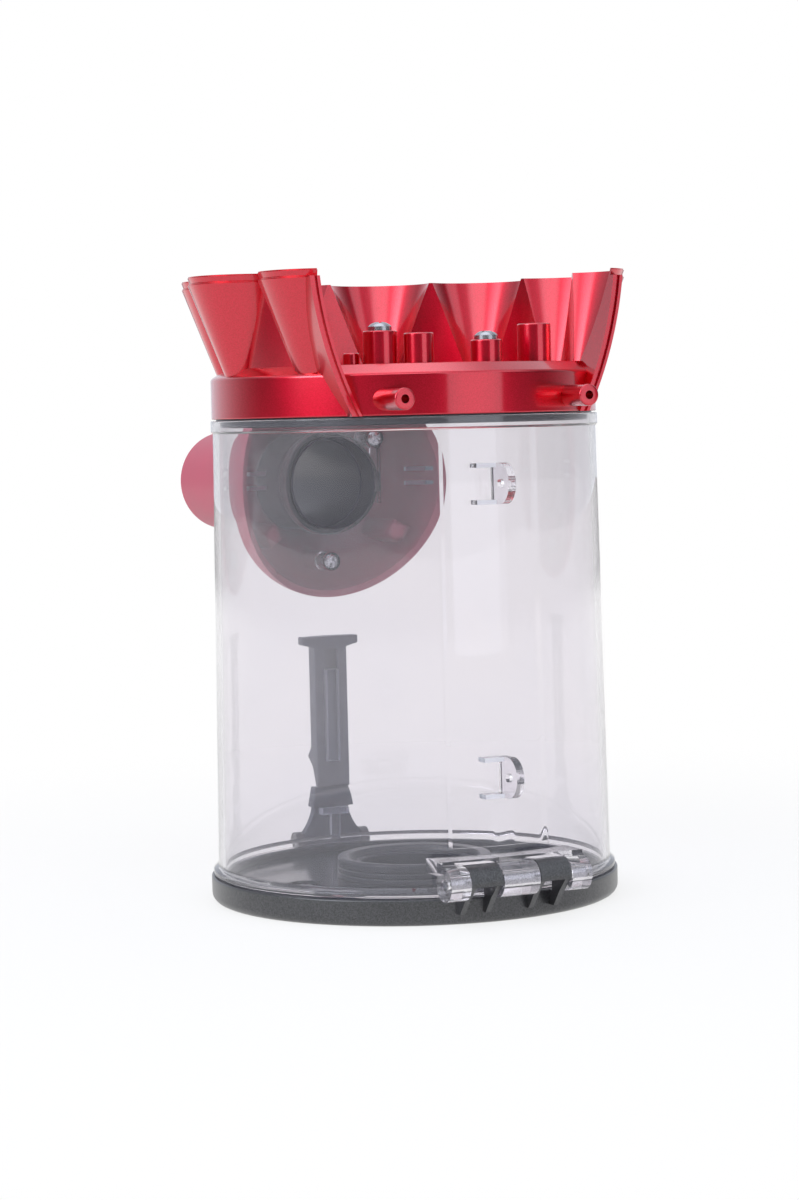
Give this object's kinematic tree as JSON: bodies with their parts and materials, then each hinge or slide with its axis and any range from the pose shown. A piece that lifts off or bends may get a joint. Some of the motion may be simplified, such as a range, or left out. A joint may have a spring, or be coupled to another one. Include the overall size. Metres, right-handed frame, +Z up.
{
  "type": "cyclone dust bin",
  "caption": "Clear tapered dust bin of a stick vacuum with a scalloped metallic red crown, red inlet nose, hinged grey base flap, front catch and push-down release slider.",
  "frame": {"origin": "on the bin's axis at the underside of the base", "axes": "+Z up along the bin's axis, +Y to the front where the inlet is, X sideways"},
  "size_m": [0.1294, 0.2059, 0.179],
  "materials": {
    "clear_polycarbonate": "clear moulded polycarbonate",
    "red_metallic": "metallic lacquer",
    "red_satin": "satin moulded",
    "screw_steel": "bright",
    "black_rubber": "matt",
    "dark_plastic": "fine moulded",
    "dark_gloss": "gloss moulded",
    "iron_grey_paint": "satin metallic lacquer"
  },
  "bodies": {
    "bin": {"bin_shell": "clear_polycarbonate", "crown_cover": "red_metallic", "crown_screws": "screw_steel", "top_gasket": "black_rubber", "inlet_cowl": "red_satin", "inlet_duct": "dark_plastic", "duct_seal": "black_rubber", "cowl_screws": "screw_steel", "hinge_pin": "screw_steel"},
    "flap": {"base_cover": "iron_grey_paint", "base_floor": "dark_gloss", "rim_seal": "black_rubber", "centre_seal": "black_rubber", "floor_screws": "screw_steel", "catch_pin": "screw_steel"},
    "catch": {"base_catch": "dark_plastic"},
    "slider": {"release_slider": "dark_plastic"}
  },
  "joints": [
    {"name": "flap_hinge", "type": "hinge", "parent": "bin", "child": "flap", "pos_m": [0, -0.0632, 0.0125], "axis": [-1, 0, 0], "range_deg": [0, 105]},
    {"name": "release_slide", "type": "slide", "parent": "bin", "child": "slider", "axis": [0, 0, -1], "range_m": [0, 0.006], "stiffness_N_per_m": 200, "springref_m": -0.004},
    {"name": "catch_pivot", "type": "hinge", "parent": "flap", "child": "catch", "pos_m": [0, 0.0622, 0.0085], "axis": [-1, 0, 0], "range_deg": [0, 10.5]}
  ],
  "couplings": [
    {"joint": "catch_pivot", "follows": "release_slide", "rad_per_m": 29.06}
  ]
}
